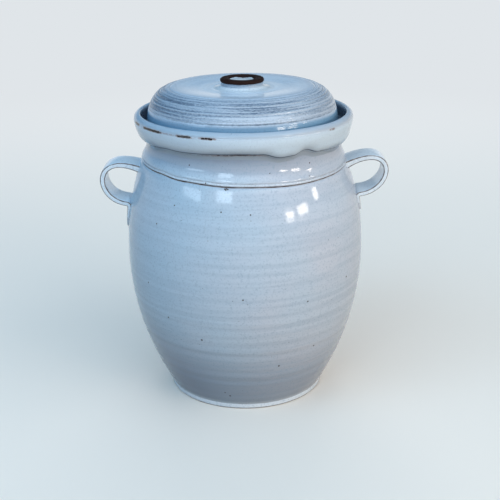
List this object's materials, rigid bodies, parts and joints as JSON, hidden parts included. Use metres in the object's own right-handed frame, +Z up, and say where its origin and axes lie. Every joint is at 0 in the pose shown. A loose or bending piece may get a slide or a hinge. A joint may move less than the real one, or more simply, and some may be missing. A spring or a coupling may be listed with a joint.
{
  "type": "fermentation crock",
  "caption": "Barrel-shaped stoneware fermentation crock with a water moat round its mouth, loop handles, a domed lid with a ring knob and half-moon weight stones inside.",
  "frame": {"origin": "middle of the foot, on the surface that the crock stands on", "axes": "+Z up along the pot's axis, +X to the right-hand handle, -Y to the front"},
  "size_m": [0.2647, 0.22, 0.296],
  "materials": {
    "white_glaze": "glossy pale blue-white tin glaze over iron-flecked stoneware, breaking brown on edges",
    "lid_glaze": "thinner satin blue-white glaze over throwing rings",
    "iron_clay": "bare iron-brown clay ring over a glazed foot",
    "bare_stoneware": "unglazed fired stoneware, matt"
  },
  "bodies": {
    "crock": {"crock_jar": "white_glaze", "moat_ring": "white_glaze", "left_handle": "white_glaze", "right_handle": "white_glaze"},
    "lid_and_knob": {"lid": "lid_glaze", "lid_knob": "iron_clay"},
    "left_stone": {"left_weight_stone": "bare_stoneware"},
    "right_stone": {"right_weight_stone": "bare_stoneware"}
  },
  "joints": [
    {"name": "lid_lift", "type": "slide", "parent": "crock", "child": "lid_and_knob", "axis": [0, 0, 1], "range_m": [0, 0.16]},
    {"name": "left_stone_rise", "type": "slide", "parent": "crock", "child": "left_stone", "axis": [0, 0, 1], "range_m": [0, 0.165]},
    {"name": "right_stone_rise", "type": "slide", "parent": "crock", "child": "right_stone", "axis": [0, 0, 1], "range_m": [0, 0.165]}
  ]
}
